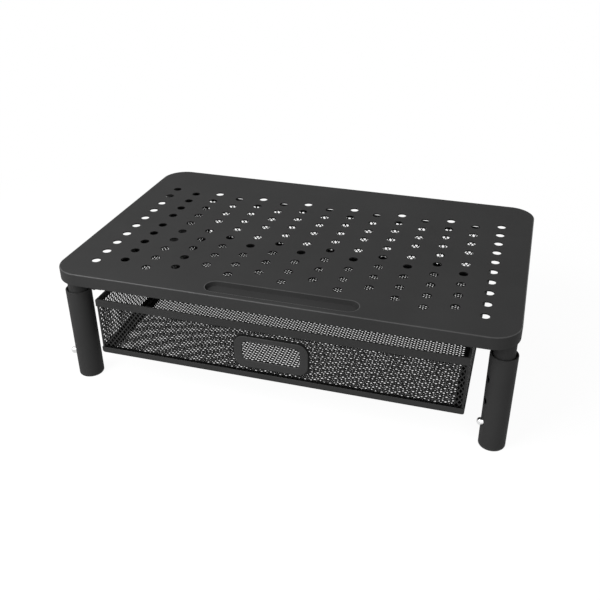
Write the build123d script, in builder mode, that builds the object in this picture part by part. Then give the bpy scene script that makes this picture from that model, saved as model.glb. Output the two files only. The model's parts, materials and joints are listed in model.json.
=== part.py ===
"""Monitor stand: a perforated steel top on four adjustable legs, with a mesh drawer hung under it.

Millimetres. The origin is on the floor below the middle of the top, X runs across, Y to the back
and Z up. The stand is at its lowest setting and the drawer is closed.
"""
import os
from math import cos, hypot, radians, sin

from build123d import *

# Top: a folded steel pan, open below
top_width = 370
top_depth = 235
top_corner_radius = 22
top_edge = 0.9
top_sheet = 1.2
skirt_height = 10.4
stand_height = 110

# Vent holes in staggered columns, each drawn with ten flats
hole_diameter = 7
hole_flats = 10
hole_columns = 15
hole_rows = 10
hole_side_margin = 27.3
hole_rear_margin = 48.4
hole_front_margin = 27.9
stagger_rows_rear = 4
stagger_rear_shift = 2.5
stagger_front_shift = 1.6

# Pressed groove near the front edge
groove_length = 122
groove_width = 16
groove_depth = 3.2
groove_slope = 22
groove_lip = 0.6
groove_off_centre = 6
groove_front_margin = 14
groove_clear_ends = 14
groove_clear_rear = 10

# Legs: a neck tube welded under the top, and a sleeve that slides on it
leg_inset_side = 10
leg_inset_end = 22
sleeve_radius = 10.55
sleeve_wall = 1.2
neck_radius = 8.2
neck_wall = 1
neck_show = 15.2
neck_foot_clearance = 2
running_fit = 0.05
bush_length = 10
bush_flats = 24
bore_flats = 30
bush_recess = 0.5
foot_thickness = 2.5
foot_plug_length = 7.5
foot_flats = 36
foot_plug_flats = 12
foot_edge = 1

# Height setting: a sprung button in the neck and three holes in the sleeve
height_step = 20
height_settings = 3
lowest_hole_height = 23
snap_hole_diameter = 6.8
snap_hole_flats = 8
button_diameter = 6.2
snap_turn = 23
button_proud = 4
button_bevel = 1.3
button_collar_diameter = 8.8
collar_flats = 12
button_flats = 24
button_collar_thickness = 1
button_collar_clearance = 0.2
spring_leaf = 0.5
spring_width = 5
spring_height = 30
spring_tail = 6
spring_bend_radius = 1.5

# Drawer: folded rim and base with mesh walls and floor
drawer_side_gap = 12.45
drawer_setback = 8.5
drawer_overhang = 3.5
drawer_drop = 26
drawer_height = 53
drawer_strip = 1
rim_height = 6.4
rim_hem = 1.8
rim_side_flange = 6
base_height = 7
base_bend_radius = 2.8
base_foot_width = 5
base_ledge_height = 3.4
base_ledge_width = 8.5
net_thickness = 0.8
net_strand = 2.2
net_margin = 3
net_pitch_along = 38
net_pitch_up = 14
net_pitch_floor = 28
net_corner_gap = 0.6

# Finger pull: a moulded ring round an opening in the front net
pull_width = 61.5
pull_height = 31
pull_radius = 9
pull_proud = 1.2
pull_edge = 0.9
pull_opening_width = 47.5
pull_opening_height = 17.5
pull_opening_radius = 4
pull_opening_rise = 2
pull_collar_wall = 1.7
pull_collar_depth = 7
pull_drop = 27
pull_off_centre = -1
pull_clearance = 0.3

# Runners: hangers welded under the top, with a channel in each for the drawer's slide
runner_strip = 1
hanger_flange = 12.5
hanger_drop = 16.3
hanger_front_setback = 6.5
hanger_corner_radius = 4
channel_setback = 4
channel_lip = 5
slide_front_setback = 25.5
slide_back_setback = 3
slide_foot = 5.5
slide_clearance = 0.3
slide_side_play = 0.4
slide_lift_play = 0.8
ear_length = 6
ear_height = 8
stop_width = 4
stop_gap = 3
drawer_travel = 160

# Derived places
top_underside = stand_height - top_sheet
skirt_bottom = stand_height - skirt_height
groove_y = groove_front_margin - top_depth / 2
leg_x = top_width / 2 - leg_inset_side
leg_y = top_depth / 2 - leg_inset_end
sleeve_top = skirt_bottom - neck_show
sleeve_bore = sleeve_radius - sleeve_wall
neck_bore = neck_radius - neck_wall
neck_bottom = foot_thickness + foot_plug_length + neck_foot_clearance
button_tip = sleeve_radius + button_proud
snap_out = (-cos(radians(snap_turn)), -sin(radians(snap_turn)), 0)
snap_across = (-sin(radians(snap_turn)), cos(radians(snap_turn)), 0)
collar_reach = (neck_bore**2 - (button_collar_diameter / 2) ** 2) ** 0.5 - button_collar_clearance
drawer_half_width = leg_x - sleeve_radius - drawer_side_gap
drawer_front = drawer_setback - top_depth / 2
drawer_back = top_depth / 2 + drawer_overhang
drawer_middle = (drawer_front + drawer_back) / 2
drawer_top = stand_height - drawer_drop
drawer_bottom = drawer_top - drawer_height
ledge_top = drawer_bottom + base_ledge_height
net_bottom = ledge_top
net_top = drawer_top - drawer_strip
pull_centre = drawer_top - pull_drop
pull_opening_centre = pull_centre + pull_opening_rise
channel_bottom = top_underside - hanger_drop
channel_height = 2 * runner_strip + drawer_strip + slide_clearance + slide_lift_play
channel_web = drawer_half_width - runner_strip
channel_edge = channel_web - channel_lip
slide_web = channel_edge - slide_clearance
slide_edge = channel_web - runner_strip - slide_side_play
slide_seat = channel_bottom + runner_strip + slide_clearance
slide_front = slide_front_setback - top_depth / 2
slide_back = top_depth / 2 - slide_back_setback
hanger_front = hanger_front_setback - top_depth / 2
hanger_back = slide_back + slide_clearance + runner_strip
stop_back = slide_back - ear_length - drawer_travel - slide_clearance
stop_length = top_underside - runner_strip - slide_seat - drawer_strip - stop_gap

leg_corners = {
    "front_left": (-leg_x, -leg_y),
    "front_right": (leg_x, -leg_y),
    "rear_left": (-leg_x, leg_y),
    "rear_right": (leg_x, leg_y),
}

os.makedirs("parts", exist_ok=True)


def save(piece, name):
    """Names the finished piece and writes its file."""
    piece.part.label = name
    export_step(piece.part, f"parts/{name}.step")


def level(height, x=0, y=0):
    """Level plane at a height, with its origin over the point x, y."""
    return Plane(origin=(x, y, height))


def snap_plane(x, y, height):
    """Upright plane through a leg's axis, facing the way its button points."""
    return Plane(origin=(x, y, height), z_dir=snap_out)


def clear_of_groove(x, y):
    """True where a vent hole doesn't come too near the pressed groove."""
    beside = abs(x - groove_off_centre) > groove_length / 2 + groove_clear_ends
    behind = abs(y - groove_y) > groove_width / 2 + groove_clear_rear
    return beside or behind


def vent_centres():
    """Centres of the vent holes: full columns, and staggered columns between them."""
    column_pitch = (top_width - 2 * hole_side_margin) / (hole_columns - 1)
    row_pitch = (top_depth - hole_rear_margin - hole_front_margin) / (hole_rows - 1)
    rear_row = top_depth / 2 - hole_rear_margin
    centres = []
    for column in range(hole_columns):
        x = (column - (hole_columns - 1) / 2) * column_pitch
        staggered = column % 2 == 1
        for row in range(hole_rows - 1 if staggered else hole_rows):
            y = rear_row - row * row_pitch
            if staggered:
                shift = stagger_rear_shift if row < stagger_rows_rear else -stagger_front_shift
                y += shift - row_pitch / 2
            if clear_of_groove(x, y):
                centres.append((x, y))
    return centres


with BuildPart() as top_panel:
    with BuildSketch(level(skirt_bottom)):
        RectangleRounded(top_width, top_depth, top_corner_radius)
    extrude(amount=skirt_height)
    chamfer(top_panel.faces().sort_by(Axis.Z)[-1].edges(), length=top_edge)
    with BuildSketch(level(skirt_bottom)):
        RectangleRounded(top_width - 2 * top_sheet, top_depth - 2 * top_sheet, top_corner_radius - top_sheet)
    extrude(amount=skirt_height - top_sheet, mode=Mode.SUBTRACT)
    with BuildSketch(level(stand_height, groove_off_centre, groove_y)):
        SlotOverall(groove_length + 2 * top_sheet, groove_width + 2 * top_sheet)
    extrude(amount=-groove_depth - top_sheet, taper=groove_slope)
    with BuildSketch(level(stand_height, groove_off_centre, groove_y)):
        SlotOverall(groove_length, groove_width)
    extrude(amount=-groove_depth, taper=groove_slope, mode=Mode.SUBTRACT)
    groove_rim = top_panel.faces().filter_by(Plane.XY).sort_by(Axis.Z)[-1].inner_wires()
    chamfer(groove_rim.edges(), length=groove_lip)
    with BuildSketch(level(stand_height)):
        with Locations(*vent_centres()):
            RegularPolygon(radius=hole_diameter / 2, side_count=hole_flats)
    extrude(amount=-top_sheet, mode=Mode.SUBTRACT)
save(top_panel, "top_panel")


def build_neck(x, y):
    """Neck tube, welded to the underside of the top, with a hole for the button."""
    with BuildPart() as neck:
        with BuildSketch(level(neck_bottom, x, y)):
            Circle(neck_radius)
            RegularPolygon(radius=neck_bore, side_count=bore_flats, major_radius=False, mode=Mode.SUBTRACT)
        extrude(amount=top_underside - neck_bottom)
        with BuildSketch(snap_plane(x, y, lowest_hole_height)):
            RegularPolygon(radius=snap_hole_diameter / 2, side_count=snap_hole_flats)
        extrude(amount=neck_radius + neck_wall, mode=Mode.SUBTRACT)
    return neck


def build_sleeve(x, y):
    """Outer tube of the leg, with one hole for each height setting."""
    with BuildPart() as sleeve:
        with BuildSketch(level(foot_thickness, x, y)):
            Circle(sleeve_radius)
            RegularPolygon(radius=sleeve_bore, side_count=bore_flats, major_radius=False, mode=Mode.SUBTRACT)
        extrude(amount=sleeve_top - foot_thickness)
        for setting in range(height_settings):
            hole_height = lowest_hole_height + setting * height_step
            with BuildSketch(snap_plane(x, y, hole_height)):
                RegularPolygon(radius=snap_hole_diameter / 2, side_count=snap_hole_flats)
            extrude(amount=sleeve_radius + sleeve_wall, mode=Mode.SUBTRACT)
    return sleeve


def build_bush(x, y):
    """Guide bush in the sleeve's mouth, which runs on the neck."""
    with BuildPart() as bush:
        with BuildSketch(level(sleeve_top - bush_recess, x, y)):
            RegularPolygon(radius=sleeve_bore - running_fit, side_count=bush_flats)
            RegularPolygon(
                radius=neck_radius + running_fit, side_count=bush_flats, major_radius=False, mode=Mode.SUBTRACT
            )
        extrude(amount=-bush_length)
    return bush


def build_foot(x, y):
    """Foot cap: a bevelled disc under the sleeve, with a plug whose flats grip the tube."""
    with BuildPart() as foot:
        with BuildSketch(level(0, x, y)):
            RegularPolygon(radius=sleeve_radius, side_count=foot_flats)
        extrude(amount=foot_thickness)
        chamfer(foot.edges().group_by(Axis.Z)[0], length=foot_edge)
        with BuildSketch(level(foot_thickness, x, y)):
            RegularPolygon(radius=sleeve_bore - running_fit, side_count=foot_plug_flats)
        extrude(amount=foot_plug_length)
    return foot


def build_button(x, y):
    """Snap button: a bevelled pin, kept in the neck by its collar."""
    axis_plane = snap_plane(x, y, lowest_hole_height)
    with BuildPart() as button:
        with BuildSketch(axis_plane.offset(collar_reach)):
            RegularPolygon(radius=button_collar_diameter / 2, side_count=collar_flats)
        extrude(amount=-button_collar_thickness)
        with BuildSketch(axis_plane.offset(collar_reach)):
            RegularPolygon(radius=button_diameter / 2, side_count=button_flats)
        extrude(amount=button_tip - collar_reach)
        tip_face = button.faces().sort_by(Axis(axis_plane.origin, axis_plane.z_dir))[-1]
        chamfer(tip_face.edges(), length=button_bevel)
    return button


def build_spring(x, y):
    """Leaf spring bent to a V inside the neck: one arm behind the button, one on the far wall."""
    button_arm = collar_reach - button_collar_thickness - running_fit - spring_leaf / 2
    far_arm = (neck_bore**2 - (spring_width / 2) ** 2) ** 0.5 - running_fit - spring_leaf / 2
    low = lowest_hole_height - spring_tail
    with BuildPart() as spring:
        with BuildSketch(Plane(origin=(x, y, 0), x_dir=snap_out, z_dir=snap_across)):
            with BuildLine() as leaf:
                Polyline(
                    (button_arm, low),
                    (button_arm, lowest_hole_height + spring_tail),
                    (0, low + spring_height),
                    (-far_arm, lowest_hole_height),
                    (-far_arm, low),
                )
                fillet(leaf.vertices().sort_by(Axis.Y)[-1], radius=spring_bend_radius)
            trace(line_width=spring_leaf)
        extrude(amount=spring_width / 2, both=True)
    return spring


for corner, (corner_x, corner_y) in leg_corners.items():
    save(build_neck(corner_x, corner_y), f"neck_{corner}")
    save(build_sleeve(corner_x, corner_y), f"leg_sleeve_{corner}")
    save(build_bush(corner_x, corner_y), f"guide_bush_{corner}")
    save(build_foot(corner_x, corner_y), f"foot_cap_{corner}")
    save(build_button(corner_x, corner_y), f"snap_button_{corner}")
    save(build_spring(corner_x, corner_y), f"snap_spring_{corner}")


def across_plane(y):
    """Upright plane across the stand at y, with its first axis along X and its second up."""
    return Plane(origin=(0, y, 0), x_dir=(1, 0, 0), z_dir=(0, -1, 0))


with BuildPart() as hanger_right:
    with BuildSketch(across_plane(hanger_front)):
        with BuildLine():
            Polyline(
                (drawer_half_width - hanger_flange, top_underside - runner_strip / 2),
                (drawer_half_width - runner_strip / 2, top_underside - runner_strip / 2),
                (drawer_half_width - runner_strip / 2, channel_bottom),
            )
        trace(line_width=runner_strip)
    extrude(amount=hanger_front - hanger_back)
    front_edges = hanger_right.edges().filter_by(Axis.X).group_by(Axis.Y)[0]
    fillet(front_edges.sort_by(Axis.Z)[0], radius=hanger_corner_radius)
    for stop_face in (stop_back, hanger_back):
        with BuildSketch(across_plane(stop_face)):
            with Locations((slide_web - drawer_strip / 2, top_underside - runner_strip)):
                Rectangle(stop_width, stop_length, align=(Align.CENTER, Align.MAX))
        extrude(amount=runner_strip)
save(hanger_right, "runner_hanger_right")

with BuildPart() as channel_right:
    with BuildSketch(across_plane(hanger_front + channel_setback)):
        with BuildLine():
            Polyline(
                (channel_edge, channel_bottom + channel_height - runner_strip / 2),
                (channel_web - runner_strip / 2, channel_bottom + channel_height - runner_strip / 2),
                (channel_web - runner_strip / 2, channel_bottom + runner_strip / 2),
                (channel_edge, channel_bottom + runner_strip / 2),
            )
        trace(line_width=runner_strip)
    extrude(amount=hanger_front + channel_setback - hanger_back)
save(channel_right, "runner_channel_right")

with BuildPart() as slide_right:
    with BuildSketch(across_plane(slide_front)):
        with BuildLine():
            Polyline(
                (slide_web - drawer_strip / 2 + slide_foot, drawer_top + drawer_strip / 2),
                (slide_web - drawer_strip / 2, drawer_top + drawer_strip / 2),
                (slide_web - drawer_strip / 2, slide_seat + drawer_strip / 2),
                (slide_edge, slide_seat + drawer_strip / 2),
            )
        trace(line_width=drawer_strip)
    extrude(amount=slide_front - slide_back)
    with BuildSketch(across_plane(slide_back)):
        with Locations((slide_web, slide_seat + drawer_strip)):
            Rectangle(drawer_strip, ear_height, align=(Align.MAX, Align.MIN))
    extrude(amount=ear_length)
save(slide_right, "drawer_slide_right")

with BuildPart() as hanger_left:
    mirror(hanger_right.part, about=Plane.YZ)
save(hanger_left, "runner_hanger_left")

with BuildPart() as channel_left:
    mirror(channel_right.part, about=Plane.YZ)
save(channel_left, "runner_channel_left")

with BuildPart() as slide_left:
    mirror(slide_right.part, about=Plane.YZ)
save(slide_left, "drawer_slide_left")

# Outline that the folded rim and base strips follow, from the middle of the front
drawer_outline = [
    (0, drawer_front),
    (drawer_half_width, drawer_front),
    (drawer_half_width, drawer_back),
    (-drawer_half_width, drawer_back),
    (-drawer_half_width, drawer_front),
]
strip_plane = Plane(origin=(0, drawer_front, 0), x_dir=(0, 1, 0), z_dir=(1, 0, 0))
flange_width = rim_side_flange - drawer_strip
flange_length = drawer_back - drawer_strip - slide_front

with BuildPart() as drawer_rim:
    with BuildLine() as rim_path:
        Polyline(*drawer_outline, close=True)
    with BuildSketch(strip_plane):
        with BuildLine():
            Polyline(
                (rim_hem, drawer_top - drawer_strip / 2),
                (drawer_strip / 2, drawer_top - drawer_strip / 2),
                (drawer_strip / 2, drawer_top - rim_height),
            )
        trace(line_width=drawer_strip)
    sweep(path=rim_path.wires()[0], transition=Transition.RIGHT)
    with BuildSketch(level(drawer_top)):
        with Locations(
            (drawer_half_width - rim_side_flange, slide_front),
            (drawer_strip - drawer_half_width, slide_front),
        ):
            Rectangle(flange_width, flange_length, align=(Align.MIN, Align.MIN))
    extrude(amount=-drawer_strip)
save(drawer_rim, "drawer_rim")

with BuildPart() as drawer_base:
    with BuildLine() as base_path:
        Polyline(*drawer_outline, close=True)
    with BuildSketch(strip_plane):
        with BuildLine() as base_line:
            Polyline(
                (drawer_strip / 2, drawer_bottom + base_height),
                (drawer_strip / 2, drawer_bottom + drawer_strip / 2),
                (drawer_strip / 2 + base_foot_width, drawer_bottom + drawer_strip / 2),
                (drawer_strip / 2 + base_foot_width, ledge_top - drawer_strip / 2),
                (base_ledge_width, ledge_top - drawer_strip / 2),
            )
            outer_corner = base_line.vertices().group_by(Axis.X)[0].sort_by(Axis.Y)[0]
            fillet(outer_corner, radius=base_bend_radius)
        trace(line_width=drawer_strip)
    sweep(path=base_path.wires()[0], transition=Transition.RIGHT)
save(drawer_base, "drawer_base")


def cut_diamonds(length, height, pitch_along, pitch_up):
    """Cuts two staggered fields of diamond gaps in the current sketch."""
    columns = round((length - 2 * net_margin) / pitch_along)
    rows = round((height - 2 * net_margin) / pitch_up)
    step_along = (length - 2 * net_margin) / columns
    step_up = (height - 2 * net_margin) / rows
    openness = 1 - net_strand * hypot(step_along, step_up) / (step_along * step_up)
    half_along = openness * step_along / 2
    half_up = openness * step_up / 2
    corners = [(half_along, 0), (0, half_up), (-half_along, 0), (0, -half_up)]
    with GridLocations(step_along, step_up, columns, rows):
        Polygon(*corners, mode=Mode.SUBTRACT)
    with GridLocations(step_along, step_up, columns - 1, rows - 1):
        Polygon(*corners, mode=Mode.SUBTRACT)


net_rise = net_top - net_bottom
net_middle = (net_top + net_bottom) / 2
front_net_length = 2 * (drawer_half_width - drawer_strip)
side_net_length = drawer_back - drawer_front - 2 * (drawer_strip + net_thickness)
side_net_x = drawer_half_width - drawer_strip

with BuildPart() as net_front:
    net_plane = Plane(origin=(0, drawer_front + drawer_strip, net_middle), x_dir=(1, 0, 0), z_dir=(0, -1, 0))
    with BuildSketch(net_plane):
        Rectangle(front_net_length, net_rise)
        cut_diamonds(front_net_length, net_rise, net_pitch_along, net_pitch_up)
        with Locations((pull_off_centre, pull_opening_centre - net_middle)):
            RectangleRounded(
                pull_opening_width + 2 * (pull_collar_wall + pull_clearance),
                pull_opening_height + 2 * (pull_collar_wall + pull_clearance),
                pull_opening_radius + pull_collar_wall + pull_clearance,
                mode=Mode.SUBTRACT,
            )
    extrude(amount=-net_thickness)
save(net_front, "drawer_net_front")

with BuildPart() as net_back:
    net_plane = Plane(origin=(0, drawer_back - drawer_strip, net_middle), x_dir=(1, 0, 0), z_dir=(0, -1, 0))
    with BuildSketch(net_plane):
        Rectangle(front_net_length, net_rise)
        cut_diamonds(front_net_length, net_rise, net_pitch_along, net_pitch_up)
    extrude(amount=net_thickness)
save(net_back, "drawer_net_back")

with BuildPart() as net_right:
    net_plane = Plane(origin=(side_net_x, drawer_middle, net_middle), x_dir=(0, 1, 0), z_dir=(1, 0, 0))
    with BuildSketch(net_plane):
        Rectangle(side_net_length, net_rise)
        cut_diamonds(side_net_length, net_rise, net_pitch_along, net_pitch_up)
    extrude(amount=-net_thickness)
save(net_right, "drawer_net_right")

with BuildPart() as net_left:
    mirror(net_right.part, about=Plane.YZ)
save(net_left, "drawer_net_left")

with BuildPart() as net_floor:
    floor_inset = drawer_strip + base_foot_width + net_corner_gap
    floor_length = 2 * (drawer_half_width - floor_inset)
    floor_depth = drawer_back - drawer_front - 2 * floor_inset
    with BuildSketch(level(ledge_top - drawer_strip, 0, drawer_middle)):
        Rectangle(floor_length, floor_depth)
        cut_diamonds(floor_length, floor_depth, net_pitch_along, net_pitch_floor)
    extrude(amount=-net_thickness)
save(net_floor, "drawer_net_floor")

with BuildPart() as finger_pull:
    pull_plane = Plane(
        origin=(pull_off_centre, drawer_front + drawer_strip, pull_centre), x_dir=(1, 0, 0), z_dir=(0, -1, 0)
    )
    with BuildSketch(pull_plane):
        RectangleRounded(pull_width, pull_height, pull_radius)
    extrude(amount=drawer_strip + pull_proud)
    with BuildSketch(pull_plane):
        with Locations((0, pull_opening_rise)):
            RectangleRounded(
                pull_opening_width + 2 * pull_collar_wall,
                pull_opening_height + 2 * pull_collar_wall,
                pull_opening_radius + pull_collar_wall,
            )
    extrude(amount=-pull_collar_depth)
    with BuildSketch(pull_plane.offset(drawer_strip + pull_proud)):
        with Locations((0, pull_opening_rise)):
            RectangleRounded(pull_opening_width, pull_opening_height, pull_opening_radius)
    extrude(amount=-(drawer_strip + pull_proud + pull_collar_depth), mode=Mode.SUBTRACT)
    chamfer(finger_pull.faces().sort_by(Axis.Y)[0].outer_wire().edges(), length=pull_edge)
save(finger_pull, "finger_pull")
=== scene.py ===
"""Looks of the monitor stand: smooth pieces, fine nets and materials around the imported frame.

Lengths of the pieces are in millimetres and become metres where a mesh is made. Floor, lamps and
camera are in metres. X runs across, Y to the back and Z up from the floor, as in the frame.
"""

import json
from math import cos, hypot, pi, radians, sin, tan

import bmesh
import bpy
from mathutils import Matrix, Vector
from mathutils.geometry import delaunay_2d_cdt

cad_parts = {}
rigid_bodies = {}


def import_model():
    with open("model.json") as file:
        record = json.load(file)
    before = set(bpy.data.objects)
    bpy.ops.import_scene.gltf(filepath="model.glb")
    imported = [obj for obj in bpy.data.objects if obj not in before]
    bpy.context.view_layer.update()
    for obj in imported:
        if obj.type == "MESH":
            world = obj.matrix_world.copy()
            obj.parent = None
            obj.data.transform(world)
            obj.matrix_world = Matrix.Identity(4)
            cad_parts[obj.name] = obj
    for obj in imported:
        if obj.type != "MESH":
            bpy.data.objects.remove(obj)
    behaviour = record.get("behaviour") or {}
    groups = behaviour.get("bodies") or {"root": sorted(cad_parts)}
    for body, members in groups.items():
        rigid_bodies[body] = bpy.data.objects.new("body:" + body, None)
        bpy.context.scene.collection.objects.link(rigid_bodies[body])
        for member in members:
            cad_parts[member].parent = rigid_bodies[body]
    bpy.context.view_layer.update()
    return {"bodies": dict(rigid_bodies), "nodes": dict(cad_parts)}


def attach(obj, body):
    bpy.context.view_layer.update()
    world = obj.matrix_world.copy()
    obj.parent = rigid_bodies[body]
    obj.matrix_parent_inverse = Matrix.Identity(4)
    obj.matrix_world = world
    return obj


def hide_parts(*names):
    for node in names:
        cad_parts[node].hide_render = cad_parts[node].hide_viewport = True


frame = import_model()
scene = bpy.context.scene

MM = 0.001
# Axes of the four legs
CORNERS = {
    "front_left": (-175, -95.5),
    "front_right": (175, -95.5),
    "rear_left": (-175, 95.5),
    "rear_right": (175, 95.5),
}

# Depths of the fine reliefs in the materials, in metres
PEEL_DEPTH, GRAIN_DEPTH, MARK_DEPTH = 0.00006, 0.00004, 0.00002
# Most values of a noise lie between these two
NOISE_LOW, NOISE_HIGH = 0.3, 0.7


# Node helpers for the materials
def add_node(tree, kind, inputs=None, **settings):
    """Adds a node, sets its properties, and sets or links its inputs."""
    node = tree.nodes.new(kind)
    for name, value in settings.items():
        setattr(node, name, value)
    for name, value in (inputs or {}).items():
        if isinstance(value, bpy.types.NodeSocket):
            tree.links.new(value, node.inputs[name])
        else:
            node.inputs[name].default_value = value
    return node


def new_material(name):
    """Empty node material with its tree and its output node."""
    material = bpy.data.materials.new(name)
    material.use_nodes = True
    tree = material.node_tree
    tree.nodes.clear()
    return material, tree, tree.nodes.new("ShaderNodeOutputMaterial")


def grey(value, warm=0.0):
    """Linear grey, a little warmer where warm is above zero and a little bluer below it."""
    return (value * (1 + warm), value, value * (1 - warm), 1)


def noise(tree, place, scale, detail, roughness=0.5):
    """Soft noise, from zero to one."""
    inputs = {"Vector": place, "Scale": scale, "Detail": detail, "Roughness": roughness}
    return add_node(tree, "ShaderNodeTexNoise", inputs).outputs["Fac"]


def specks(tree, place, scale):
    """Small round specks, as the distance to the nearest one's middle."""
    return add_node(tree, "ShaderNodeTexVoronoi", {"Vector": place, "Scale": scale}).outputs["Distance"]


def scaled_sum(tree, source, factor, rest):
    """Source times factor, plus the rest."""
    inputs = {0: source, 1: factor, 2: rest}
    return add_node(tree, "ShaderNodeMath", inputs, operation="MULTIPLY_ADD").outputs[0]


def spread(tree, source, low, high):
    """Noise brought to the range from low to high."""
    inputs = {"Value": source, "From Min": NOISE_LOW, "From Max": NOISE_HIGH, "To Min": low, "To Max": high}
    return add_node(tree, "ShaderNodeMapRange", inputs).outputs["Result"]


def two_tones(tree, source, start, first, end, last):
    """Colour that runs from the first tone, at start, to the last tone, at end."""
    ramp = add_node(tree, "ShaderNodeValToRGB", {"Fac": source})
    for index, (position, tone) in enumerate(((start, first), (end, last))):
        ramp.color_ramp.elements[index].position = position
        ramp.color_ramp.elements[index].color = tone
    return ramp.outputs["Color"]


def relief(tree, height, strength, depth):
    """Normals of a fine relief."""
    inputs = {"Height": height, "Strength": strength, "Distance": depth}
    return add_node(tree, "ShaderNodeBump", inputs).outputs["Normal"]


def set_surface(tree, output, colour, gloss, normal, further):
    """Gives the material one plain shader with these inputs and the further ones."""
    inputs = {"Base Color": colour, "Roughness": gloss, "Normal": normal, **further}
    shader = add_node(tree, "ShaderNodeBsdfPrincipled", inputs)
    tree.links.new(shader.outputs["BSDF"], output.inputs["Surface"])


def coated_metal(name, dark, light, rough, peel, fleck, shine=0.05):
    """Powder coat: a fine orange peel, flecks of gloss and a slow drift of tone."""
    drift_share, grain_share, speck_share = 0.65, 0.35, 0.35
    material, tree, output = new_material(name)
    place = add_node(tree, "ShaderNodeTexCoord").outputs["Object"]
    drift = noise(tree, place, scale=14, detail=3, roughness=0.55)
    grain = noise(tree, place, scale=2600, detail=2, roughness=0.6)
    bumps = noise(tree, place, scale=1050, detail=2)
    tone = scaled_sum(tree, grain, grain_share, scaled_sum(tree, drift, drift_share, 0))
    colour = two_tones(tree, tone, start=0.36, first=dark, end=0.64, last=light)
    gloss = spread(tree, grain, rough - fleck, rough + fleck)
    height = scaled_sum(tree, specks(tree, place, scale=1700), speck_share, bumps)
    normal = relief(tree, height, peel, PEEL_DEPTH)
    set_surface(tree, output, colour, gloss, normal, {"Specular IOR Level": shine})
    return material


def moulded_plastic(name, dark, light, rough, grain_scale, peel):
    """Matt moulded plastic with a fine spark-eroded grain."""
    fleck, fine_share, shine = 0.07, 0.6, 0.2
    material, tree, output = new_material(name)
    place = add_node(tree, "ShaderNodeTexCoord").outputs["Object"]
    drift = noise(tree, place, scale=35, detail=2)
    fine = noise(tree, place, scale=grain_scale * 1.7, detail=3)
    colour = two_tones(tree, drift, start=0.35, first=dark, end=0.65, last=light)
    gloss = spread(tree, fine, rough - fleck, rough + fleck)
    height = scaled_sum(tree, fine, fine_share, specks(tree, place, grain_scale))
    normal = relief(tree, height, peel, GRAIN_DEPTH)
    set_surface(tree, output, colour, gloss, normal, {"Specular IOR Level": shine})
    return material


def bright_steel(name, tone, rough, stretch):
    """Turned or rolled steel: fine marks along one direction, with a little stain."""
    duller, brighter, mark_strength = 0.08, 0.06, 0.25
    stained, clean = grey(tone * 0.86, 0.01), grey(tone, -0.005)
    material, tree, output = new_material(name)
    place = add_node(tree, "ShaderNodeTexCoord").outputs["Object"]
    along = add_node(tree, "ShaderNodeMapping", {"Vector": place, "Scale": stretch}).outputs["Vector"]
    marks = noise(tree, along, scale=1500, detail=3)
    stain = noise(tree, place, scale=260, detail=2)
    colour = two_tones(tree, stain, start=0.3, first=stained, end=0.7, last=clean)
    gloss = spread(tree, marks, rough - brighter, rough + duller)
    normal = relief(tree, marks, mark_strength, MARK_DEPTH)
    set_surface(tree, output, colour, gloss, normal, {"Metallic": 1})
    return material


POWDER = coated_metal("powder_coat_grey", grey(0.033), grey(0.039), rough=0.64, peel=0.35, fleck=0.07)
# Lighter, glossier coat for the top's edge round and the groove's lip: a painted highlight line
POWDER_EDGE_HIGHLIGHT = coated_metal(
    "powder_coat_painted_highlight", grey(0.037), grey(0.044), rough=0.45, peel=0.2, fleck=0.06, shine=0.36
)
# Near-black coat for the vent-hole walls, the base strip's ledge and the wall nets' foot: painted shade
POWDER_PAINTED_SHADE = coated_metal("powder_coat_painted_shade", grey(0.003), grey(0.006), rough=0.7, peel=0.3, fleck=0.06)
# Darker coat for the groove's slope down to its floor: painted shade
POWDER_SLOPE_SHADE = coated_metal(
    "powder_coat_painted_slope_shade", grey(0.026), grey(0.031), rough=0.66, peel=0.3, fleck=0.06, shine=0
)
POWDER_NET = coated_metal("powder_coat_net", grey(0.028), grey(0.034), rough=0.55, peel=0.2, fleck=0.06)
PULL_PLASTIC = moulded_plastic(
    "pull_plastic_grain", grey(0.027), grey(0.032), rough=0.58, grain_scale=1500, peel=0.3
)
FOOT_PLASTIC = moulded_plastic(
    "foot_plastic_grain", grey(0.022), grey(0.028), rough=0.62, grain_scale=1200, peel=0.3
)
# Near-black plastic: the black bush, darkened as painted shade, and the pull's painted shadow flange
BLACK_PLASTIC_AND_SHADE = moulded_plastic(
    "black_plastic_and_painted_shade", grey(0.003), grey(0.005), rough=0.6, grain_scale=1600, peel=0.2
)
BUTTON_STEEL = bright_steel("button_steel_turned", tone=0.72, rough=0.2, stretch=(0.12, 1, 1))
SPRING_STEEL = bright_steel("spring_steel_rolled", tone=0.5, rough=0.32, stretch=(1, 1, 0.08))

# Angles in degrees above which an edge stays crisp
SHARP_ANGLE, NET_SHARP_ANGLE = 35, 20
# Widths of the rounded edges on folded strips and on the nodes shown as they are
STRIP_EDGE, CARRIED_EDGE = 0.22, 0.18
EDGE_SEGMENTS, EDGE_ANGLE = 2, 40
# Points of those nodes that lie nearer than this are joined
WELD_GAP = 0.002


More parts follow.
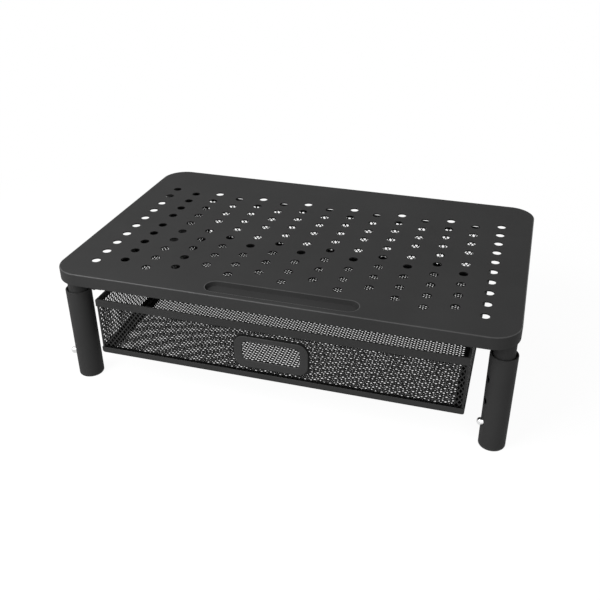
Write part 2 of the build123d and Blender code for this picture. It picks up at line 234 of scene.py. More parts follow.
# Mesh helpers
class Shell:
    """Points and faces of one piece."""

    def __init__(self):
        self.points = []
        self.faces = []

    def ring(self, points):
        """Adds a closed row of points and gives their numbers."""
        first = len(self.points)
        self.points.extend(points)
        return list(range(first, len(self.points)))

    def loft(self, near, far):
        """Faces between two closed rows of the same length."""
        for k in range(len(near)):
            n = (k + 1) % len(near)
            self.faces.append((near[k], near[n], far[n], far[k]))

    def loft_all(self, rows, closed=False):
        """Faces between each row and the next, and back to the first where closed."""
        for near, far in zip(rows, rows[1:]):
            self.loft(near, far)
        if closed:
            self.loft(rows[-1], rows[0])

    def fill(self, outer, inner):
        """Flat face between a rounded outer row and the rounded rows in it, in level triangles."""
        join_gap = 1e-6
        numbers = []
        owners = []
        edges = []
        for owner, row in enumerate([outer, *inner]):
            first = len(numbers)
            numbers.extend(row)
            owners.extend([owner] * len(row))
            edges.extend((first + k, first + (k + 1) % len(row)) for k in range(len(row)))
        flat = [Vector(self.points[n][:2]) for n in numbers]
        _, _, triangles, origins, _, _ = delaunay_2d_cdt(flat, edges, [], 0, join_gap)
        for triangle in triangles:
            corners = [origins[v][0] for v in triangle]
            rows = {owners[n] for n in corners}
            if len(rows) > 1 or rows == {0}:
                self.faces.append(tuple(numbers[n] for n in corners))


def link_piece(name, mesh, material, body, nodes=()):
    """Puts a finished mesh in the scene on its body, in place of its nodes."""
    piece = bpy.data.objects.new(name, mesh)
    scene.collection.objects.link(piece)
    mesh.materials.clear()
    mesh.materials.append(material)
    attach(piece, body)
    if nodes:
        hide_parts(*nodes)
    return piece


def shell_mesh(name, shell, sharp=SHARP_ANGLE):
    """Mesh in metres from a shell, with its faces turned outward and its crisp edges marked."""
    mesh = bpy.data.meshes.new(name)
    mesh.from_pydata([[c * MM for c in p] for p in shell.points], [], shell.faces)
    work = bmesh.new()
    work.from_mesh(mesh)
    bmesh.ops.recalc_face_normals(work, faces=work.faces)
    work.to_mesh(mesh)
    work.free()
    mesh.shade_smooth()
    mesh.set_sharp_from_angle(angle=radians(sharp))
    return mesh


def soften(piece, width=0):
    """Rounded edges where a width is given, and shading that keeps the flat faces flat."""
    if width:
        bevel = piece.modifiers.new("edges", "BEVEL")
        bevel.width = width * MM
        bevel.segments = EDGE_SEGMENTS
        bevel.limit_method = "ANGLE"
        bevel.angle_limit = radians(EDGE_ANGLE)
        bevel.harden_normals = False
    weighted = piece.modifiers.new("flats", "WEIGHTED_NORMAL")
    weighted.keep_sharp = True


def add_finishes(mesh, finishes):
    """Further materials for some faces: each with its first face and the face after its last."""
    for index, (material, first, last) in enumerate(finishes, 1):
        mesh.materials.append(material)
        for face in mesh.polygons[first:last]:
            face.material_index = index


def arc(middle_u, middle_w, radius, start, end, steps):
    """Points of an arc in a section, angles in degrees."""
    points = []
    for k in range(steps + 1):
        a = radians(start + (end - start) * k / steps)
        points.append((middle_u + radius * cos(a), middle_w + radius * sin(a)))
    return points


def circle(radius, segments):
    """Points of a full circle."""
    angles = [2 * pi * k / segments for k in range(segments)]
    return [(radius * cos(a), radius * sin(a)) for a in angles]


def rounded_outline(half_u, half_v, radius, steps):
    """Rounded rectangle, by how far out the middles of its four rounds lie and by their radius."""
    points = []
    for side_u, side_v, start in ((1, -1, -90), (1, 1, 0), (-1, 1, 90), (-1, -1, 180)):
        points += arc(side_u * half_u, side_v * half_v, radius, start, start + 90, steps)
    return points


def upright(x, y, z):
    """Turned form that stands up."""
    return (x, y, z)


def facing_left(x, y, z):
    """Turned form whose axis points to the left."""
    return (-z, x, y)


def turned_mesh(name, profile, segments, turn, closed):
    """Turned form: rows of points round the profile's axis, capped where it isn't closed."""
    shell = Shell()
    rows = []
    for radius, along in profile:
        rows.append(shell.ring([turn(u, v, along) for u, v in circle(radius, segments)]))
    shell.loft_all(rows, closed)
    if not closed:
        shell.faces.append(tuple(rows[0]))
        shell.faces.append(tuple(rows[-1]))
    return shell_mesh(name, shell)


def cut_through(mesh, cutters):
    """The mesh with turned cutters taken out of it."""
    piece = bpy.data.objects.new("cut_work", mesh)
    scene.collection.objects.link(piece)
    tools = []
    for cutter in cutters:
        tool = bpy.data.objects.new("cut_tool", cutter)
        scene.collection.objects.link(tool)
        change = piece.modifiers.new("cut", "BOOLEAN")
        change.operation = "DIFFERENCE"
        change.solver = "EXACT"
        change.object = tool
        tools.append(tool)
    bpy.context.view_layer.update()
    graph = bpy.context.evaluated_depsgraph_get()
    result = bpy.data.meshes.new_from_object(piece.evaluated_get(graph))
    for used in [piece, *tools]:
        bpy.data.objects.remove(used)
    result.shade_smooth()
    result.set_sharp_from_angle(angle=radians(SHARP_ANGLE))
    return result


def moved_copy(mesh, name, x, y):
    """Copy of a mesh, moved across the floor."""
    copy = mesh.copy()
    copy.name = name
    copy.transform(Matrix.Translation((x * MM, y * MM, 0)))
    return copy


# The top: a folded pan with vent holes and a pressed groove
TOP_WIDTH, TOP_DEPTH, TOP_RADIUS = 370, 235, 22
TOP_Z, UNDER_Z, SKIRT_Z = 110, 108.8, 99.6
TOP_SHEET = 1.2
EDGE_ROUND = 1.1
CORNER_STEPS = 18
# Rounds with two flats: their radius, and how far their middle point stays from either face
LIP, LIP_MIDDLE = 0.3, 0.09
BEND, BEND_MIDDLE = 0.8, 0.23

GROOVE_X, GROOVE_Y, GROOVE_HALF, GROOVE_RADIUS, GROOVE_Z = 6, -103.5, 53, 8, 106.8
GROOVE_LEAN = 22
GROOVE_LIP_ROUND, GROOVE_FOOT_ROUND = 1.1, 1.3
GROOVE_STEPS = 20

VENT_COLUMNS, VENT_ROWS = 15, 10
VENT_SIDE, VENT_BACK, VENT_FRONT = 27.3, 48.4, 27.9
# Shifts of the staggered columns: their four rows at the back, and the rest
STAGGER_ROWS, STAGGER_BACK, STAGGER_FRONT = 4, 2.5, -1.6
# No vent hole lies this near the groove's middle
GROOVE_ROOM_X, GROOVE_ROOM_Y = 75, 18
HOLE_RADIUS, HOLE_SEGMENTS = 3.5, 28
# The vent holes widen below this depth
HOLE_FLARE, FLARE_DEPTH = 0.7, 0.45


def pan_row(inset, z):
    """Rounded rectangle of the pan, drawn in by inset."""
    half_width = TOP_WIDTH / 2 - TOP_RADIUS
    half_depth = TOP_DEPTH / 2 - TOP_RADIUS
    return [(x, y, z) for x, y in rounded_outline(half_width, half_depth, TOP_RADIUS - inset, CORNER_STEPS)]


def groove_row(inset, z):
    """Long rounded outline of the groove, drawn in by inset."""
    points = []
    for side, start in ((1, -90), (-1, 90)):
        middle = GROOVE_X + side * GROOVE_HALF
        points += arc(middle, GROOVE_Y, GROOVE_RADIUS - inset, start, start + 180, GROOVE_STEPS)
    return [(x, y, z) for x, y in points]


def vent_centres():
    """Centres of the vent holes: full columns, and staggered columns between them."""
    column_pitch = (TOP_WIDTH - 2 * VENT_SIDE) / (VENT_COLUMNS - 1)
    row_pitch = (TOP_DEPTH - VENT_BACK - VENT_FRONT) / (VENT_ROWS - 1)
    centres = []
    for column in range(VENT_COLUMNS):
        x = (column - VENT_COLUMNS // 2) * column_pitch
        staggered = column % 2 == 1
        for row in range(VENT_ROWS - 1 if staggered else VENT_ROWS):
            y = TOP_DEPTH / 2 - VENT_BACK - row * row_pitch
            if staggered:
                y += (STAGGER_BACK if row < STAGGER_ROWS else STAGGER_FRONT) - row_pitch / 2
            if abs(x - GROOVE_X) > GROOVE_ROOM_X or abs(y - GROOVE_Y) > GROOVE_ROOM_Y:
                centres.append((x, y))
    return centres


def skirt_section():
    """Inset and height of the pan's rows: down outside the skirt, round its end and up inside."""
    section = [(EDGE_ROUND - u, TOP_Z - EDGE_ROUND + w) for u, w in arc(0, 0, EDGE_ROUND, 90, 0, steps=6)]
    section += [(0, SKIRT_Z + LIP), (LIP_MIDDLE, SKIRT_Z + LIP_MIDDLE), (LIP, SKIRT_Z)]
    section += [(TOP_SHEET - LIP, SKIRT_Z), (TOP_SHEET - LIP_MIDDLE, SKIRT_Z + LIP_MIDDLE)]
    section += [(TOP_SHEET, SKIRT_Z + LIP), (TOP_SHEET, UNDER_Z - BEND)]
    section += [(TOP_SHEET + BEND_MIDDLE, UNDER_Z - BEND_MIDDLE), (TOP_SHEET + BEND, UNDER_Z)]
    return section


def groove_section():
    """Inset and height of the groove's upper rows: over its lip, down the slope and into its floor."""
    turn = 90 - GROOVE_LEAN
    tangent = tan(radians(turn / 2))
    foot_inset = (TOP_Z - GROOVE_Z) * tan(radians(GROOVE_LEAN))
    lip, foot = GROOVE_LIP_ROUND, GROOVE_FOOT_ROUND
    section = arc(-lip * tangent, TOP_Z - lip, lip, 90, 90 - turn, steps=6)
    section += arc(foot_inset + foot * tangent, GROOVE_Z + foot, foot, 270 - turn, 270, steps=6)
    return section


def bulge_section():
    """Inset and height of the rows below the groove, where the sheet bulges down."""
    bulge_z = GROOVE_Z - TOP_SHEET
    section = [(-1.4, UNDER_Z), (-0.95, UNDER_Z - 0.15), (-0.6, UNDER_Z - 0.45)]
    section += [(0.2, bulge_z + 0.9), (0.5, bulge_z + 0.35), (0.95, bulge_z + 0.08), (1.5, bulge_z)]
    return section


def build_top():
    """The top as one closed shell."""
    shell = Shell()
    skirt = [shell.ring(pan_row(inset, z)) for inset, z in skirt_section()]
    shell.loft_all(skirt)

    first_wall = len(shell.faces)
    wall = [(LIP, TOP_Z), (LIP_MIDDLE, TOP_Z - LIP_MIDDLE), (0, TOP_Z - LIP), (0, TOP_Z - FLARE_DEPTH)]
    wall += [(HOLE_FLARE, UNDER_Z)]
    top_rings = []
    under_rings = []
    for x, y in vent_centres():
        rows = []
        for extra, z in wall:
            outline = circle(HOLE_RADIUS + extra, HOLE_SEGMENTS)
            rows.append(shell.ring([(x + u, y + v, z) for u, v in outline]))
        shell.loft_all(rows)
        top_rings.append(rows[0])
        under_rings.append(rows[-1])
    last_wall = len(shell.faces)

    upper = [shell.ring(groove_row(inset, z)) for inset, z in groove_section()]
    shell.loft_all(upper)
    shell.faces.append(tuple(upper[-1]))
    lower = [shell.ring(groove_row(inset, z)) for inset, z in bulge_section()]
    shell.loft_all(lower)
    shell.faces.append(tuple(lower[-1]))

    shell.fill(skirt[0], [*top_rings, upper[0]])
    shell.fill(skirt[-1], [*under_rings, lower[0]])
    mesh = shell_mesh("top_plate", shell)
    soften(link_piece("top_plate", mesh, POWDER, "stand", ["top_panel"]))

    # Strips of faces: the middle of the edge's round and the upper half of the groove's lip take a
    # lighter, glossier coat as a painted highlight; the vent-hole walls take a near-black coat and the
    # rest of the groove down to its floor a darker coat, both as painted shade
    edge_first, edge_last, lip_last, slope_last = 1, 4, 3, 12
    round_length = len(skirt[0])
    groove_length = len(upper[0])
    slope_first = last_wall + groove_length * lip_last
    finishes = (
        (POWDER_EDGE_HIGHLIGHT, round_length * edge_first, round_length * edge_last),
        (POWDER_PAINTED_SHADE, first_wall, last_wall),
        (POWDER_EDGE_HIGHLIGHT, last_wall, slope_first),
        (POWDER_SLOPE_SHADE, slope_first, last_wall + groove_length * slope_last),
    )
    add_finishes(mesh, finishes)


# Legs: tubes, bushes, feet and buttons
SLEEVE_RADIUS, SLEEVE_BORE, SLEEVE_BOTTOM, SLEEVE_TOP = 10.55, 9.35, 2.5, 84.4
SLEEVE_LIP = 0.35
NECK_RADIUS, NECK_BORE, NECK_BOTTOM = 8.2, 7.2, 12
BUSH_RADIUS, BUSH_BORE, BUSH_BOTTOM, BUSH_TOP = 9.3, 8.25, 73.9, 83.9
FOOT_ROUND, FOOT_FLAT, PLUG_RADIUS, PLUG_TOP = 1, 9.3, 9.25, 10
COLLAR_RADIUS, COLLAR_START, COLLAR_END, COLLAR_CORNER = 4.4, 4.5, 5.5, 0.1
PIN_RADIUS, DOME_START, DOME_HEIGHT, PIN_TIP = 3.1, 11.75, 2.8, 0.02

# Heights of the snap holes, and the angle by which the button's way is turned to the front
LOWEST_HOLE, SETTING_STEP, SETTINGS = 23, 20, 3
BUTTON_TURN = 23
SNAP_HOLE_RADIUS, CUT_START, NECK_CUT, SLEEVE_CUT = 3.4, 2, 11, 14


def along_button(mesh, height):
    """Brings a mesh that faces left to the button's way at a height."""
    mesh.transform(Matrix.Translation((0, 0, height * MM)) @ Matrix.Rotation(radians(BUTTON_TURN), 4, "Z"))
    return mesh


def hole_cutter(height, reach):
    """Round cutter that comes in along the button's way at a height."""
    profile = [(SNAP_HOLE_RADIUS, CUT_START), (SNAP_HOLE_RADIUS, reach)]
    mesh = turned_mesh("cutter", profile, segments=40, turn=facing_left, closed=False)
    return along_button(mesh, height)


def sleeve_mesh():
    """Outer tube with a rounded mouth and a snap hole for each setting."""
    lip_z = SLEEVE_TOP - SLEEVE_LIP
    profile = [(SLEEVE_RADIUS, SLEEVE_BOTTOM)]
    profile += arc(SLEEVE_RADIUS - SLEEVE_LIP, lip_z, SLEEVE_LIP, 0, 90, steps=3)
    profile += arc(SLEEVE_BORE + SLEEVE_LIP, lip_z, SLEEVE_LIP, 90, 180, steps=3)
    profile.append((SLEEVE_BORE, SLEEVE_BOTTOM))
    mesh = turned_mesh("sleeve", profile, segments=128, turn=upright, closed=True)
    holes = [hole_cutter(LOWEST_HOLE + SETTING_STEP * step, SLEEVE_CUT) for step in range(SETTINGS)]
    return cut_through(mesh, holes)


def neck_mesh():
    """Inner tube with the hole for its button."""
    profile = [(NECK_RADIUS, NECK_BOTTOM), (NECK_RADIUS, UNDER_Z)]
    profile += [(NECK_BORE, UNDER_Z), (NECK_BORE, NECK_BOTTOM)]
    mesh = turned_mesh("neck", profile, segments=96, turn=upright, closed=True)
    return cut_through(mesh, [hole_cutter(LOWEST_HOLE, NECK_CUT)])


def bush_mesh():
    """Bush in the sleeve's mouth, funnelled at its top."""
    profile = [(BUSH_RADIUS, BUSH_BOTTOM), (BUSH_RADIUS, BUSH_TOP - 0.15), (BUSH_RADIUS - 0.1, BUSH_TOP)]
    profile += [(BUSH_RADIUS - 0.25, BUSH_TOP - 0.1), (BUSH_BORE + 0.1, BUSH_TOP - 1.7)]
    profile += [(BUSH_BORE, BUSH_TOP - 2), (BUSH_BORE, BUSH_BOTTOM)]
    return turned_mesh("bush", profile, segments=96, turn=upright, closed=True)


def foot_mesh():
    """Foot cap: a rounded foot and the plug in the sleeve."""
    profile = [(FOOT_FLAT, 0), *arc(SLEEVE_RADIUS - FOOT_ROUND, FOOT_ROUND, FOOT_ROUND, 270, 360, steps=6)]
    profile += [(SLEEVE_RADIUS, SLEEVE_BOTTOM - 0.2), (SLEEVE_RADIUS - 0.15, SLEEVE_BOTTOM - 0.05)]
    profile += [(PLUG_RADIUS, SLEEVE_BOTTOM), (PLUG_RADIUS, PLUG_TOP - 0.6), (PLUG_RADIUS - 0.65, PLUG_TOP)]
    return turned_mesh("foot", profile, segments=96, turn=upright, closed=False)


def pin_mesh():
    """Button: a pin with a collar inside the neck and a domed end."""
    collar_flat = COLLAR_RADIUS - COLLAR_CORNER
    profile = [(collar_flat, COLLAR_START), (COLLAR_RADIUS, COLLAR_START + COLLAR_CORNER)]
    profile += [(COLLAR_RADIUS, COLLAR_END - COLLAR_CORNER), (collar_flat, COLLAR_END)]
    profile += [(PIN_RADIUS, COLLAR_END)]
    for degrees in (90, 78, 66, 54, 42, 30, 18, 8):
        a = radians(degrees)
        profile.append((PIN_RADIUS * sin(a), DOME_START + DOME_HEIGHT * cos(a)))
    profile.append((PIN_TIP, DOME_START + DOME_HEIGHT))
    mesh = turned_mesh("pin", profile, segments=48, turn=facing_left, closed=False)
    return along_button(mesh, LOWEST_HOLE)


def build_legs():
    """Tubes, bushes, feet and buttons of the four legs."""
    sleeve = sleeve_mesh()
    neck = neck_mesh()
    bush = bush_mesh()
    foot = foot_mesh()
    pin = pin_mesh()
    for corner, (x, y) in CORNERS.items():
        leg = "leg_" + corner
        kinds = (
            ("tube_outer_", sleeve, POWDER, leg, "powder_coat", "leg_sleeve_"),
            ("tube_inner_", neck, POWDER, "stand", "powder_coat", "neck_"),
            # The bush is near-black: black plastic with painted shade in the sleeve's mouth
            ("bush_ring_", bush, BLACK_PLASTIC_AND_SHADE, leg, "bush_plastic", "guide_bush_"),
            ("foot_round_", foot, FOOT_PLASTIC, leg, "foot_plastic", "foot_cap_"),
            ("pin_domed_", pin, BUTTON_STEEL, "button_" + corner, "button_steel", "snap_button_"),
        )
        for prefix, mesh, material, body, slot, node in kinds:
            copy = moved_copy(mesh, prefix + corner, x, y)
            soften(link_piece(prefix + corner, copy, material, body, [node + corner]))


# The drawer's folded strips, as rows of a section carried round the drawer
HALF_WIDTH, FRONT_Y, BACK_Y = 152, -109, 121
STRIP_SHEET = 0.6
RIM_TOP, RIM_UNDER, RIM_BOTTOM, RIM_ROUND = 84, 83, 77.6, 0.7
RIM_HEM, RIM_FLANGE = 1.8, 6
# The rim's side flanges start here, over twice this step
FLANGE_FRONT_Y, FLANGE_STEP = -92, 0.3
BASE_TOP, BASE_BOTTOM, BASE_ROUND, BASE_SHEET = 38, 31, 3.8, 1
LEDGE_UNDER, LEDGE_TOP, LEDGE_FOOT, LEDGE_REACH = 33.4, 34.4, 6, 8.5


def strip_row(inset, z):
    """Row round the drawer, drawn in by inset."""
    x = HALF_WIDTH - inset
    front = FRONT_Y + inset
    back = BACK_Y - inset
    return [(x, front, z), (x, back, z), (-x, back, z), (-x, front, z)]


def rim_row(inset, flange, z):
    """Row of the rim, whose side flanges start a little way back."""
    x = HALF_WIDTH - inset
    wide = HALF_WIDTH - flange
    back = BACK_Y - inset
    right = [(x, FRONT_Y + inset, z), (x, FLANGE_FRONT_Y - FLANGE_STEP, z)]
    right += [(wide, FLANGE_FRONT_Y + FLANGE_STEP, z), (wide, back, z)]
    return right + [(-x, y, z) for x, y, z in reversed(right)]


def build_strips():
    """Rim and base of the drawer."""
    shell = Shell()
    section = [(0, 0, RIM_BOTTOM)]
    section += [(u, u, w) for u, w in arc(RIM_ROUND, RIM_TOP - RIM_ROUND, RIM_ROUND, 180, 90, steps=4)]
    section += [(RIM_HEM, RIM_FLANGE, RIM_TOP), (RIM_HEM, RIM_FLANGE, RIM_UNDER)]
    section += [(STRIP_SHEET, STRIP_SHEET, RIM_UNDER), (STRIP_SHEET, STRIP_SHEET, RIM_BOTTOM)]
    shell.loft_all([shell.ring(rim_row(inset, flange, z)) for inset, flange, z in section], True)
    mesh = shell_mesh("rim_strip", shell)
    soften(link_piece("rim_strip", mesh, POWDER, "drawer", ["drawer_rim"]), STRIP_EDGE)

    shell = Shell()
    round_z = BASE_BOTTOM + BASE_ROUND
    inner_foot = LEDGE_FOOT - BASE_SHEET
    section = [(0, BASE_TOP), *arc(BASE_ROUND, round_z, BASE_ROUND, 180, 270, steps=8)]
    section += [(LEDGE_FOOT, BASE_BOTTOM), (LEDGE_FOOT, LEDGE_UNDER)]
    ledge_start = len(section)
    section += [(LEDGE_REACH, LEDGE_UNDER), (LEDGE_REACH, LEDGE_TOP), (inner_foot, LEDGE_TOP)]
    ledge_end = len(section)
    section += [(inner_foot, BASE_BOTTOM + BASE_SHEET)]
    section += arc(BASE_ROUND, round_z, BASE_ROUND - BASE_SHEET, 270, 190, steps=6)
    section += [(STRIP_SHEET, BASE_TOP - 2), (STRIP_SHEET, BASE_TOP)]
    rows = [shell.ring(strip_row(inset, z)) for inset, z in section]
    shell.loft_all(rows, True)
    mesh = shell_mesh("base_strip", shell)
    soften(link_piece("base_strip", mesh, POWDER, "drawer", ["drawer_base"]), STRIP_EDGE)
    row_length = len(rows[0])
    # The ledge's faces take the near-black coat: painted shade in the drawer under the top
    add_finishes(mesh, [(POWDER_PAINTED_SHADE, row_length * ledge_start, row_length * ledge_end)])


# Finger pull: width, height, corner radius and middle height of its ring and of its opening
PULL_RING, PULL_OPENING = (61.5, 29, 9, 58), (47.5, 17.5, 4, 59)
PULL_X, PULL_STEPS = -1, 10
COLLAR_ROOM = 2

# The drawer's fine nets: staggered diamonds in thin sheet
WALL_CELL, FLOOR_CELL = (4.1, 5.2), (5.25, 3.08)
ACROSS_COUNT, ALONG_COUNT, FLOOR_COUNT = (73, 9), (55, 9), (55, 70)
ACROSS_OUTLINE, ALONG_OUTLINE = (-151.3, 34.5, 151.3, 82.9), (-107.85, 34.5, 119.85, 82.9)
FLOOR_OUTLINE = (-145.4, -102.4, 145.4, 114.4)
FRONT_NET_Y, BACK_NET_Y, SIDE_NET_X, FLOOR_NET_Z = -108.35, 120.35, 151.35, 33.35
NET_STRAND = 0.7
WALL_SHEET, FLOOR_SHEET = 0.84, 0.69
# Wall-net faces below this height take the near-black coat: painted shade above the base strip
SHADE_SEAM_Z = 39.5


def in_collar(x, z):
    """True where the finger pull's collar passes through the front net."""
    width, height, radius, middle = PULL_OPENING
    past_x = max(abs(x - PULL_X) - (width / 2 - radius), 0)
    past_z = max(abs(z - middle) - (height / 2 - radius), 0)
    return hypot(past_x, past_z) < radius + COLLAR_ROOM


def border_marks(first, pitch, count, half):
    """Places along a net's border where its diamonds begin and end."""
    marks = [first]
    for k in range(count):
        marks += [first + k * pitch + half, first + (k + 1) * pitch - half]
    return marks + [first + count * pitch]


def build_net(name, node, place, cell, thick, count, outline, gone=None):
    """Net of staggered diamonds with a plain border, without the patches that have a corner in gone."""
    shell = Shell()
    numbers = {}
    patches = []
    along, up = cell
    columns, rows = count
    low_u, low_v, high_u, high_v = outline
    first_u = (low_u + high_u - columns * along) / 2
    first_v = (low_v + high_v - rows * up) / 2
    open_share = 1 - NET_STRAND * hypot(along, up) / (along * up)
    half_u = along * open_share / 2
    half_v = up * open_share / 2

    def at(u, v):
        """Number of the point on the near face at a place in the net; the far face has the next."""
        key = (round(u, 4), round(v, 4))
        if key not in numbers:
            shell.points.append(place(u, v, 0))
            shell.points.append(place(u, v, thick))
            numbers[key] = len(shell.points) - 2
        return numbers[key]

    def sheet(*corners):
        """Flat patch of the net, given anticlockwise."""
        if gone is None or not any(gone(u, v) for u, v in corners):
            patches.append([at(u, v) for u, v in corners])

    for column in range(columns):
        for row in range(rows):
            west = first_u + column * along
            south = first_v + row * up
            east = west + along
            north = south + up
            middle_u = (west + east) / 2
            middle_v = (south + north) / 2
            right = (middle_u + half_u, middle_v)
            above = (middle_u, middle_v + half_v)
            left = (middle_u - half_u, middle_v)
            below = (middle_u, middle_v - half_v)
            sheet((east, south + half_v), (east, north - half_v), right)
            sheet((east - half_u, north), (west + half_u, north), above)
            sheet((west, north - half_v), (west, south + half_v), left)
            sheet((west + half_u, south), (east - half_u, south), below)
            sheet((east - half_u, south), (east, south + half_v), right, below)
            sheet((east, north - half_v), (east - half_u, north), above, right)
            sheet((west + half_u, north), (west, north - half_v), left, above)
            sheet((west, south + half_v), (west + half_u, south), below, left)

    marks_u = border_marks(first_u, along, columns, half_u)
    marks_v = border_marks(first_v, up, rows, half_v)
    last_u = marks_u[-1]
    last_v = marks_v[-1]
    wide_marks = [low_u, *marks_u, high_u]
    for a, b in zip(wide_marks, wide_marks[1:]):
        sheet((a, low_v), (b, low_v), (b, first_v), (a, first_v))
        sheet((a, last_v), (b, last_v), (b, high_v), (a, high_v))
    for a, b in zip(marks_v, marks_v[1:]):
        sheet((low_u, a), (first_u, a), (first_u, b), (low_u, b))
        sheet((last_u, a), (high_u, a), (high_u, b), (last_u, b))

    edges = {}
    for patch in patches:
        shell.faces.append(tuple(patch))
        shell.faces.append(tuple(n + 1 for n in reversed(patch)))
        edges.update(dict.fromkeys(zip(patch, patch[1:] + patch[:1])))
    for a, b in edges:
        if (b, a) not in edges:
            shell.faces.append((b, a, a + 1, b + 1))
    mesh = shell_mesh(name, shell, NET_SHARP_ANGLE)
    link_piece(name, mesh, POWDER_NET, "drawer", [node])
    return mesh


def paint_seam_shade(mesh):
    """Painted shade along the foot of a wall net, where it goes down into the base strip: a near-black coat.
    """
    mesh.materials.append(POWDER_PAINTED_SHADE)
    for face in mesh.polygons:
        if face.center.z < SHADE_SEAM_Z * MM:
            face.material_index = 1


def build_nets():
    """Walls and floor of the drawer."""
    walls = (
        ("front", lambda u, v, w: (u, FRONT_NET_Y + w, v), ACROSS_COUNT, ACROSS_OUTLINE, in_collar),
        ("back", lambda u, v, w: (u, BACK_NET_Y - w, v), ACROSS_COUNT, ACROSS_OUTLINE, None),
        ("left", lambda u, v, w: (w - SIDE_NET_X, u, v), ALONG_COUNT, ALONG_OUTLINE, None),
        ("right", lambda u, v, w: (SIDE_NET_X - w, u, v), ALONG_COUNT, ALONG_OUTLINE, None),
    )
    for word, place, count, outline, gone in walls:
        name = "net_%s_fine" % word
        node = "drawer_net_%s" % word
        paint_seam_shade(build_net(name, node, place, WALL_CELL, WALL_SHEET, count, outline, gone))
    build_net(
        "net_floor_fine",
        "drawer_net_floor",
        lambda u, v, w: (u, v, FLOOR_NET_Z - w),
        FLOOR_CELL,
        FLOOR_SHEET,
        FLOOR_COUNT,
        FLOOR_OUTLINE,
    )


# Depths of the finger pull: the faces of its painted-shadow flange, where its rounds start, and its collar's
# end
PULL_BACK_Y, SHADOW_FLANGE_FACE_Y, COLLAR_Y = -108.4, -108.6, -107.5
OUTER_ROUND_Y, INNER_ROUND_Y = -109.2, -109.4
# How far in and forward each row of the rounds lies
OUTER_ROUND = ((0, 0), (0.08, 0.38), (0.29, 0.71), (0.62, 0.92), (1, 1))
INNER_ROUND = ((0.8, 0.8), (0.4, 0.69), (0.1, 0.4), (0, 0))
SHADOW_FLANGE_EXTRA, COLLAR_FLARE, COLLAR_WALL = 1, 1.2, 0.5


def pull_row(shape, extra, y):
    """Upright outline of the ring or the opening, wider by extra all round."""
    width, height, radius, middle = shape
    outline = rounded_outline(width / 2 - radius, height / 2 - radius, radius + extra, PULL_STEPS)
    return [(PULL_X + x, y, middle + z) for x, z in outline]


def build_pull():
    """Moulded ring with its collar, and behind it a thin near-black flange: a painted shadow line."""
    shell = Shell()
    rows = [pull_row(PULL_RING, SHADOW_FLANGE_EXTRA, PULL_BACK_Y), pull_row(PULL_RING, SHADOW_FLANGE_EXTRA, SHADOW_FLANGE_FACE_Y)]
    rows += [pull_row(PULL_RING, 0, SHADOW_FLANGE_FACE_Y)]
    rows += [pull_row(PULL_RING, -inward, OUTER_ROUND_Y - forward) for inward, forward in OUTER_ROUND]
    rows += [pull_row(PULL_OPENING, outward, INNER_ROUND_Y - forward) for outward, forward in INNER_ROUND]
    rows += [pull_row(PULL_OPENING, COLLAR_FLARE, COLLAR_Y)]
    rows += [pull_row(PULL_OPENING, COLLAR_FLARE + COLLAR_WALL, y) for y in (COLLAR_Y, PULL_BACK_Y)]
    rings = [shell.ring(row) for row in rows]
    shell.loft_all(rings, True)
    mesh = shell_mesh("pull_ring", shell)
    soften(link_piece("pull_ring", mesh, PULL_PLASTIC, "drawer", ["finger_pull"]))
    # The flange and the ring's outer side take near-black plastic: a painted shadow line round the ring
    shadow_strips = 4
    add_finishes(mesh, [(BLACK_PLASTIC_AND_SHADE, 0, len(rings[0]) * shadow_strips)])


def dress_carried_nodes():
    """Materials and softened edges for the nodes that are shown as they are."""
    for name, node in frame["nodes"].items():
        if node.hide_render:
            continue
        spring = name.startswith("snap_spring")
        for place in node.material_slots:
            place.material = SPRING_STEEL if spring else POWDER
        if not spring:
            weld = node.modifiers.new("weld", "WELD")
            weld.merge_threshold = WELD_GAP * MM
            soften(node, CARRIED_EDGE)


# Floor, light and camera, in metres
WHITE = (1, 1, 1, 1)
FLOOR_HALF = 6
# The floor's shadow fades out between these distances from the middle
FADE_START, FADE_END = 0.3, 0.6
# Grey and glow of the floor where it is seen, and its grey for the light that it throws on the stand
FLOOR_SHADED, FLOOR_GLOW, FLOOR_BOUNCE = 0.1, 0.94, 0.35
WORLD_LIGHT = 0.3
LAMP_AIM = (0, 0, 0.06)


def white_seen(tree):
    """One for rays that show the background: camera, glossy and transmission rays."""
    path = add_node(tree, "ShaderNodeLightPath")
    seen = path.outputs["Is Camera Ray"]
    for kind in ("Is Glossy Ray", "Is Transmission Ray"):
        inputs = {0: seen, 1: path.outputs[kind]}
        seen = add_node(tree, "ShaderNodeMath", inputs, operation="MAXIMUM").outputs[0]
    return seen


def mix(tree, share, first, last):
    """Mix of two shaders, by the share of the last one."""
    return add_node(tree, "ShaderNodeMixShader", {0: share, 1: first, 2: last}).outputs[0]


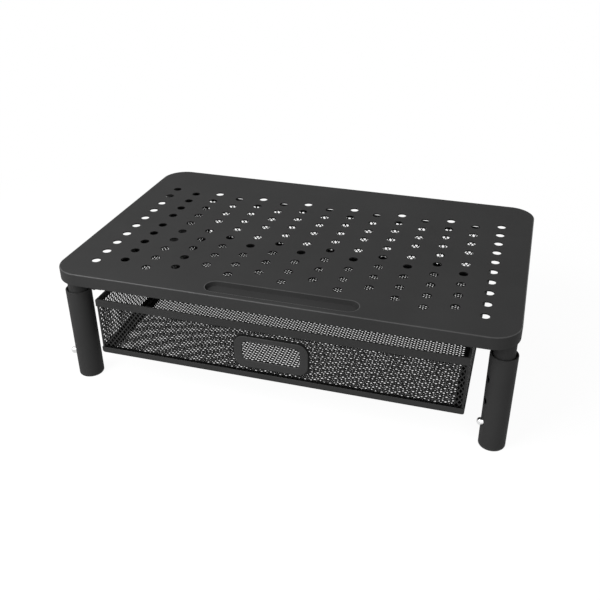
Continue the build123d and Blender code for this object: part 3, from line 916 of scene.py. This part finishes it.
def build_floor():
    """Wide white floor under the lowest foot.

    It keeps a soft shadow, ends in plain white and is clear from below.
    """
    material, tree, output = new_material("floor_white")
    bounce = add_node(tree, "ShaderNodeBsdfDiffuse", {"Color": grey(FLOOR_BOUNCE)}).outputs[0]
    shaded = add_node(tree, "ShaderNodeBsdfDiffuse", {"Color": grey(FLOOR_SHADED)}).outputs[0]
    glow = add_node(tree, "ShaderNodeEmission", {"Color": WHITE, "Strength": FLOOR_GLOW}).outputs[0]
    near = add_node(tree, "ShaderNodeAddShader", {0: shaded, 1: glow}).outputs[0]
    away = add_node(tree, "ShaderNodeEmission", {"Color": WHITE, "Strength": 1.0}).outputs[0]
    place = add_node(tree, "ShaderNodeTexCoord").outputs["Object"]
    reach = add_node(tree, "ShaderNodeVectorMath", {0: place}, operation="LENGTH").outputs["Value"]
    inputs = {"Value": reach, "From Min": FADE_START, "From Max": FADE_END}
    fade = add_node(tree, "ShaderNodeMapRange", inputs, interpolation_type="SMOOTHSTEP").outputs["Result"]
    upper = mix(tree, white_seen(tree), bounce, mix(tree, fade, near, away))
    side = add_node(tree, "ShaderNodeNewGeometry").outputs["Backfacing"]
    clear = add_node(tree, "ShaderNodeBsdfTransparent").outputs[0]
    tree.links.new(mix(tree, side, upper, clear), output.inputs["Surface"])

    mesh = bpy.data.meshes.new("floor")
    corners = [(-1, -1), (1, -1), (1, 1), (-1, 1)]
    mesh.from_pydata([(x * FLOOR_HALF, y * FLOOR_HALF, 0) for x, y in corners], [], [(0, 1, 2, 3)])
    mesh.materials.append(material)
    floor = bpy.data.objects.new("floor", mesh)
    scene.collection.objects.link(floor)
    for corner in CORNERS:
        under_foot = floor.constraints.new("FLOOR")
        under_foot.target = frame["bodies"]["leg_" + corner]
        under_foot.floor_location = "FLOOR_NEGATIVE_Z"


def build_world():
    """Even white surroundings."""
    world = bpy.data.worlds.new("studio")
    world.use_nodes = True
    tree = world.node_tree
    tree.nodes.clear()
    inputs = {"Value": white_seen(tree), "To Min": WORLD_LIGHT, "To Max": 1.0}
    level = add_node(tree, "ShaderNodeMapRange", inputs).outputs["Result"]
    background = add_node(tree, "ShaderNodeBackground", {"Color": WHITE, "Strength": level})
    output = add_node(tree, "ShaderNodeOutputWorld")
    tree.links.new(background.outputs[0], output.inputs["Surface"])
    scene.world = world


def add_lamp(name, size, power, place):
    """Soft square lamp that shines on the stand."""
    lamp = bpy.data.lights.new(name, "AREA")
    lamp.shape = "SQUARE"
    lamp.size = size
    lamp.energy = power
    holder = bpy.data.objects.new(name, lamp)
    holder.location = place
    holder.rotation_euler = (Vector(LAMP_AIM) - Vector(place)).to_track_quat("-Z", "Y").to_euler()
    scene.collection.objects.link(holder)


def build_camera():
    """Camera of the photograph."""
    data = bpy.data.cameras.new("photo_camera")
    data.sensor_width = 36
    data.lens = 46.8173
    data.shift_x = -0.0206455
    data.shift_y = -0.0160734
    data.clip_start = 0.01
    data.clip_end = 50
    camera = bpy.data.objects.new("photo_camera", data)
    camera.location = (0.171139, -0.588039, 0.405554)
    camera.rotation_euler = (radians(60.3801), radians(-0.0672), radians(16.1383))
    scene.collection.objects.link(camera)
    scene.camera = camera


build_top()
build_legs()
build_strips()
build_nets()
build_pull()
dress_carried_nodes()
build_floor()
build_world()
add_lamp("key", size=0.7, power=9.2, place=(-0.5, -0.57, 0.66))
add_lamp("fill", size=1.0, power=8.2, place=(0.9, -1.3, 0.6))
build_camera()
scene.view_settings.view_transform = "Standard"
